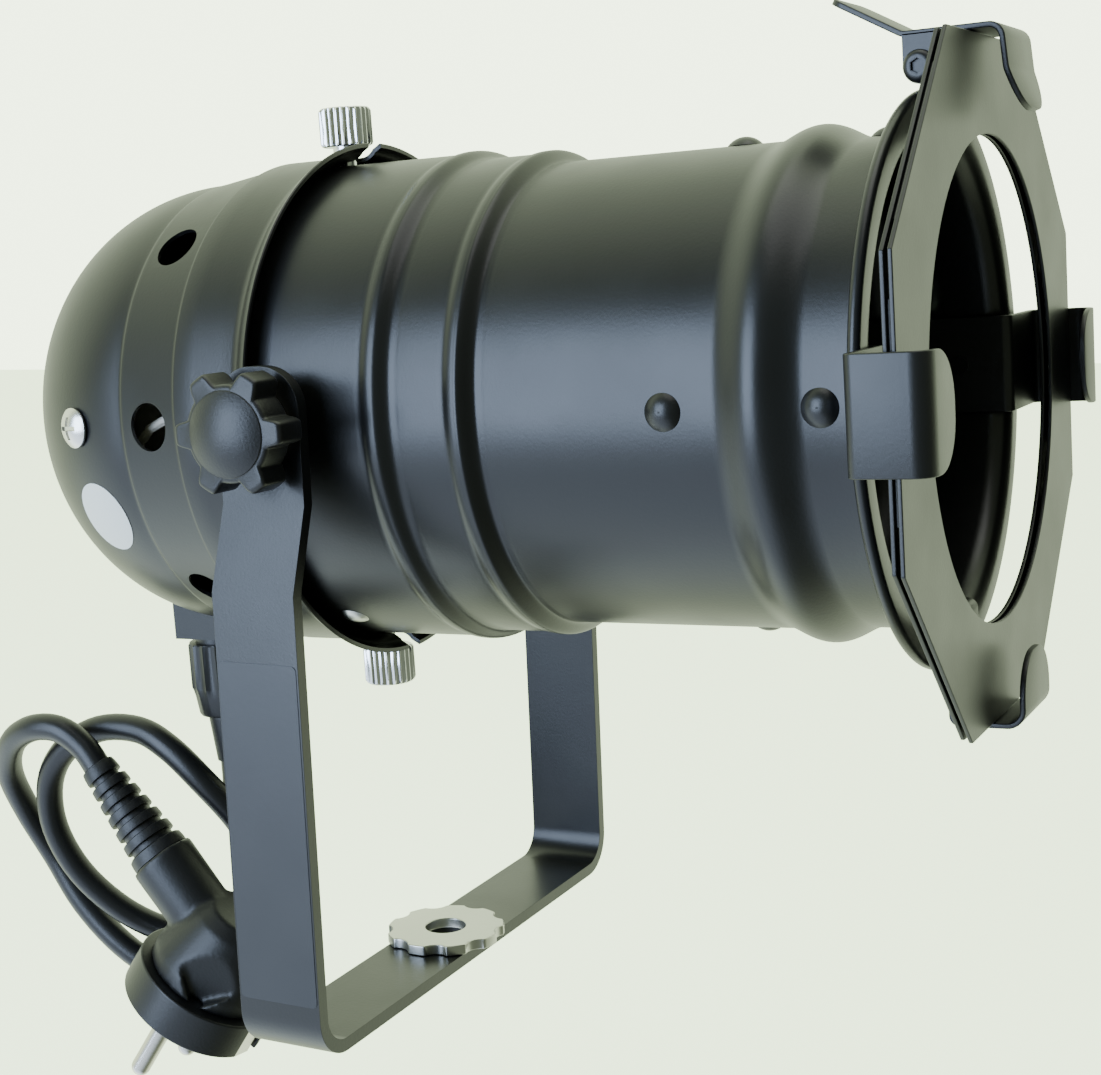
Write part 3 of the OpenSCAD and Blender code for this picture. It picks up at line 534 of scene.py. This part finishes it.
# the latch: a lever, a flat over the gel frame and a flared tongue, with a cheek on each side of the pin
PIN_N, PIN_U, CHEEK_IN, CHEEK_R, CHEEK_U, CHEEK_CORNER = 63.2, 127.5, 9.8, 3.4, 133.5, 2
LATCH_BENDS, LATCH_TIP, LATCH_ROOT, LATCH_EDGE = (3.0, 2.6, 6.0), 8.5, 3.0, 0.25
corners = [(77.9, 109.6), (OUT_X, PIN_U - CHEEK_R), (OUT_X, TAB_U), (61.3, 144.4), (53.3, 147.0)]
parts = [strip(corners, LATCH_BENDS, LATCH_TIP, LATCH_ROOT)]
outline = [(OUT_X, PIN_U - CHEEK_R), (OUT_X, CHEEK_U)]
outline += arc((PIN_N + CHEEK_CORNER, CHEEK_U - CHEEK_CORNER), CHEEK_CORNER, 90, 180, 6)
outline += arc((PIN_N, PIN_U), CHEEK_R, 90, 270, 20)
for s in (-1, 1):
    parts.append(prism(*[[(n, s * y, u) for n, u in outline] for y in (CHEEK_IN, CHEEK_IN + STRIP_T)]))
where = placed(PIVOT, FRONT, TOP)
latch = add("latch_piece", *joined(parts), where, "latch", "black_frame_paint", ("latch",), 50)
soft = latch.modifiers.new("edges", "BEVEL")
soft.width = LATCH_EDGE * MM
soft.segments = 2
soft.limit_method = "ANGLE"
soft.angle_limit = math.radians(50)


def hexagon(a):
    """How far inside its circle of radius 1 a hexagon lies."""
    return 1 - math.cos(math.pi / 6) / math.cos(a % (math.pi / 3) - math.pi / 6)


# the hinge pin: a domed socket head on each side
socket = [(1.45, 11.9, 1.45), (1.5, 12.75, 1.5), (1.9, 12.85, 0), (2.6, 12.6, 0), (3.1, 12.1, 0), (3.25, 11.6, 0),
          (3.25, 11.05, 0), (1.5, 11.05, 0)]
levels = socket + [(r, -h, share) for r, h, share in socket[::-1]]
points, faces = rings(levels, 96, hexagon)
where = placed(head_point(0, PIN_N, PIN_U), SIDE, TOP)
add("latch_pin_piece", points, faces, where, "head", "black_frame_paint", ("latch_pin",), 35)

# ---- clamp knobs ----
LOBES, LOBE_HALF, LOBE_SLOPE = 6, 0.24, 0.38


def lobes(a):
    """0 on a lobe, 1 in the scallop between two lobes."""
    across = abs((LOBES * a / (2 * math.pi) + 0.5) % 1 - 0.5) * 2
    t = min(1, max(0, (across - LOBE_HALF) / LOBE_SLOPE))
    return t * t * (3 - 2 * t)


KNOB_X, KNOB_T, KNOB_R, LOBE, CAP_R, CAP_TOP = 66.2, 9.5, 13.3, 3.1, 18.0, 12.1
for side, body in ((-1, "knob_left"), (1, "knob_right")):
    levels = [(8.2, 0, 0), (8.8, 0.2, 0), (9.0, 0.9, 0), (12.3, 1.0), (12.9, 1.2), (13.2, 1.6), (KNOB_R, 2.2),
              (KNOB_R, 5), (KNOB_R, 8.2), (13.2, 8.8), (12.9, 9.25), (12.4, 9.45), (12.0, KNOB_T), (9.1, KNOB_T, 0),
              (8.95, 9.55, 0), (8.85, 9.7, 0)]
    turns = [math.radians(29.4 - 2.8 * k) for k in range(11)]
    levels += [(CAP_R * math.sin(t), CAP_TOP - CAP_R * (1 - math.cos(t)), 0) for t in turns if t > 0.01]
    points, faces = rings(levels, 240, lambda a: LOBE * lobes(a))
    where = placed(PIVOT + SIDE * side * KNOB_X, SIDE * side, FRONT)
    add(body + "_piece", points, faces, where, body, "black_knob_plastic", ("clamp_" + body,), MADE_SHARP)

# ---- knurled thumbscrews and gland nut ----
def knurl(count, depth):
    """Sharp-edged grooves round a ring."""
    return lambda a: depth * abs(math.sin(count * a / 2))


THUMB_U = -14
for way, body, node in ((1, "screw_top", "thumbscrew_top"), (-1, "screw_bottom", "thumbscrew_bottom")):
    levels = [(1.9, 49.5, 0), (2.0, 49.8, 0), (2.0, 58.6, 0), (3.3, 58.7, 0), (3.4, 59, 0), (3.4, 60, 0),
              (5.4, 60, 0), (5.9, 60.25, 0.4), (6.2, 60.8), (6.2, 64), (6.2, 68.2), (5.8, 68.8, 0.3), (5.5, 69, 0),
              (4.2, 69, 0), (3.9, 68.8, 0)]
    points, faces = rings(levels, 208, knurl(26, 0.5))
    where = placed(head_point(0, 0, THUMB_U), TOP * way, SIDE)
    add(node + "_piece", points, faces, where, body, "chrome_plate", (node,), 25)

levels = [(7.4, 60.2, 0), (8.6, 60.2, 0), (9.0, 60.6), (9.0, 71.6), (8.7, 72.4, 0.5), (8.3, 74, 0.2),
          (7.6, 78.6, 0), (7.2, 79.2, 0), (5.5, 79.2, 0), (5.5, 76, 0)]
points, faces = rings(levels, 192, knurl(16, 0.7))
where = placed(head_point(0, 0, GLAND_U), -TOP, SIDE)
add("gland_nut_piece", points, faces, where, "gland_nut", "black_gland_plastic", ("gland_nut",), 30)

# ---- plug ----
NECK_DIR = Vector((0, math.sin(math.radians(40.5)), math.cos(math.radians(40.5))))
RELIEF_LEN, RELIEF_RIBS, RIB_PITCH, RIB_R, RIB_GROWTH = 29.0, 6, 4.1, 4.55, 0.42
levels = [(3.6, 0, 0), (4.3, -0.3, 0)]
for i in range(RELIEF_RIBS):
    z = -1.4 - RIB_PITCH * i
    r = RIB_R + RIB_GROWTH * i
    levels += [(r, z), (r + 0.15, z - 1.7), (r + 0.1, z - 2.2)]
    levels += [(r - 0.95, z - 2.3), (r - 0.9, z - 3.7), (r + 0.15, z - 3.9)]
levels += [(7.3, -26.2), (7.5, -27.5), (7.5, -RELIEF_LEN)]
points, faces = rings(levels[::-1], 64)
where = placed(PLUG_NECK, NECK_DIR, SIDE)
add("plug_relief_piece", points, faces, where, "yoke", "black_rubber", ("plug_relief",), 35)

PLUG_AT, PLUG_TURNS = (-23, 62, -16), ((103.8, "Z"), (147.2, "Y"), (15, "Z"))
PLUG = IN_MM @ Matrix.Translation(PLUG_AT)
for degrees, axis in PLUG_TURNS:
    PLUG = PLUG @ Matrix.Rotation(math.radians(degrees), 4, axis)
plug = poured("plug_work", node_shape("plug_body"))
# a flat lozenge panel pressed into each broad side of the grip
PANEL_OUT, PANEL_Z, PANEL_SIZE = 22.2, -19.5, (15, 15, 18, 1)
broad = (PLUG.inverted() @ CAMERA_AT).to_2d().normalized()
cutter = bmesh.new()
for way in (1, -1):
    out = Vector((broad.x * way, broad.y * way, 0))
    turn = out.to_track_quat("Z", "Y").to_matrix().to_4x4()
    place = Matrix.Translation(out * PANEL_OUT + Vector((0, 0, PANEL_Z))) @ turn
    place = place @ Matrix.Rotation(math.radians(45), 4, "Z") @ Matrix.Diagonal(PANEL_SIZE)
    bmesh.ops.create_cube(cutter, size=1, matrix=PLUG @ place)
panels = poured("panels", cutter)
VOXEL, SOFTENING = 0.6, 9
cut = plug.modifiers.new("cut", "BOOLEAN")
cut.object = panels
cut.solver = "EXACT"
melt = plug.modifiers.new("melt", "REMESH")
melt.mode = "VOXEL"
melt.voxel_size = VOXEL * MM
soften = plug.modifiers.new("soften", "SMOOTH")
soften.factor = 0.5
soften.iterations = SOFTENING
mesh = evaluated(plug, "plug_body_piece")
bpy.data.objects.remove(panels)
finish_mesh("plug_body_piece", mesh, "yoke", "black_rubber", ("plug_body",), 60)

# ---- plain films: a bare panel on the near arm and a bare oval on the dome ----
ARM_X, FILM, ROOTED = 70.5, 0.12, 0.05
FILM_HALF, FILM_LOW, FILM_HIGH, FILM_CORNER = 8.6, 14.4, 86.6, 1.2
outline = []
for cy, cz, start in ((FILM_HALF, FILM_HIGH, 0), (-FILM_HALF, FILM_HIGH, 90), (-FILM_HALF, FILM_LOW, 180),
                      (FILM_HALF, FILM_LOW, 270)):
    outline += arc((cy, cz), FILM_CORNER, start, start + 90, 6)
points, faces = prism([(-ARM_X + ROOTED, y, z) for y, z in outline], [(-ARM_X - FILM, y, z) for y, z in outline])
add("arm_film", points, faces, IN_MM, "yoke", "label_film", (), 30)

FILM_U, FILM_TURN, FILM_LONG, FILM_WIDE, UNDER = -57.0, 204.0, 9.0, 7.5, -0.1


def on_dome(a, b, lift):
    """A point of the dome: a forward and b round from the oval's middle, lifted off the sheet."""
    u = FILM_U + a
    r = DOME_R - KNUCKLE_R + math.sqrt(KNUCKLE_R ** 2 - (u - DOME_U) ** 2) + lift
    turn = math.radians(FILM_TURN) + b / r
    return head_point(r * math.cos(turn), r * math.sin(turn), u)


points, faces = [on_dome(0, 0, FILM)], []
SPOKES, STEPS = 64, 8
for k in range(1, STEPS + 2):
    share, lift = (k / STEPS, FILM) if k <= STEPS else (1.0, UNDER)
    for j in range(SPOKES):
        a = 2 * math.pi * j / SPOKES
        points.append(on_dome(FILM_WIDE * share * math.sin(a), FILM_LONG * share * math.cos(a), lift))
faces += [(0, 1 + j, 1 + (j + 1) % SPOKES) for j in range(SPOKES)]
for k in range(STEPS):
    a, b = 1 + k * SPOKES, 1 + (k + 1) * SPOKES
    faces += [(a + j, b + j, b + (j + 1) % SPOKES, a + (j + 1) % SPOKES) for j in range(SPOKES)]
points.append(on_dome(0, 0, UNDER))
edge = 1 + STEPS * SPOKES
faces += [(edge + j, len(points) - 1, edge + (j + 1) % SPOKES) for j in range(SPOKES)]
add("dome_film", points, faces, IN_MM, "head", "white_film", (), 50)

# ---- stage ----
def area(name, at, aim, size, power, colour=(1, 1, 1)):
    light = bpy.data.objects.new(name, bpy.data.lights.new(name, "AREA"))
    light.data.shape = "RECTANGLE"
    light.data.size, light.data.size_y = size
    light.data.energy = power
    light.data.color = colour
    light.location = at
    light.visible_camera = False
    light.rotation_euler = (Vector(aim) - Vector(at)).to_track_quat("-Z", "Y").to_euler()
    bpy.context.scene.collection.objects.link(light)


MIDDLE = (0, 0, 0.12)
area("window", (-1.28, 0.44, 0.36), MIDDLE, (0.95, 1.2), 34, (0.60, 0.75, 1.0))
area("top", (-0.1, -0.3, 1.4), MIDDLE, (1.0, 1.0), 5)
world = bpy.data.worlds.new("world")
bpy.context.scene.world = world
world.use_nodes = True
# a bright pale wall behind and below the lamp, a dimmer room on the camera's side
n, link = world.node_tree.nodes, world.node_tree.links.new
where = n.new("ShaderNodeTexCoord")
facing = n.new("ShaderNodeVectorMath")
facing.operation = "DOT_PRODUCT"
facing.inputs[1].default_value = (0.84, 0.53, 0.05)
link(where.outputs["Generated"], facing.inputs[0])
room = n.new("ShaderNodeMapRange")
room.interpolation_type = "SMOOTHSTEP"
room.inputs["From Min"].default_value = -0.35
room.inputs["From Max"].default_value = 0.45
room.inputs["To Min"].default_value = 0.24
room.inputs["To Max"].default_value = 1.9
link(facing.outputs["Value"], room.inputs["Value"])
sight = n.new("ShaderNodeLightPath")
strength = n.new("ShaderNodeMix")
strength.inputs["B"].default_value = 5.2
link(sight.outputs["Is Camera Ray"], strength.inputs["Factor"])
link(room.outputs["Result"], strength.inputs["A"])
n["Background"].inputs["Color"].default_value = (0.86, 1.0, 0.70, 1)
link(strength.outputs["Result"], n["Background"].inputs["Strength"])
# a cool glow from below, on the window's side
low = n.new("ShaderNodeVectorMath")
low.operation = "DOT_PRODUCT"
low.inputs[1].default_value = (-0.50, 0.48, -0.72)
link(where.outputs["Generated"], low.inputs[0])
glow = n.new("ShaderNodeMapRange")
glow.interpolation_type = "SMOOTHSTEP"
glow.inputs["From Min"].default_value = 0.55
glow.inputs["From Max"].default_value = 1.0
glow.inputs["To Max"].default_value = 2.2
link(low.outputs["Value"], glow.inputs["Value"])
cool = n.new("ShaderNodeBackground")
cool.inputs["Color"].default_value = (0.66, 0.78, 1.0, 1)
link(glow.outputs["Result"], cool.inputs["Strength"])
both = n.new("ShaderNodeAddShader")
link(n["Background"].outputs[0], both.inputs[0])
link(cool.outputs[0], both.inputs[1])
link(both.outputs[0], n["World Output"].inputs["Surface"])

FLOOR = -0.09
bpy.ops.mesh.primitive_plane_add(size=6, location=(0, 0, FLOOR))
floor = bpy.context.object
floor.name = "floor"
paper = material("floor", (0.78, 0.86, 0.68), 0.8, spread=0.02, grain=30, bump=0.0)
paper.node_tree.nodes["Principled BSDF"].inputs["Emission Color"].default_value = (0.80, 0.98, 0.62, 1)
paper.node_tree.nodes["Principled BSDF"].inputs["Emission Strength"].default_value = 2.6
floor.data.materials.append(paper)
floor.visible_glossy = False
floor.visible_diffuse = False
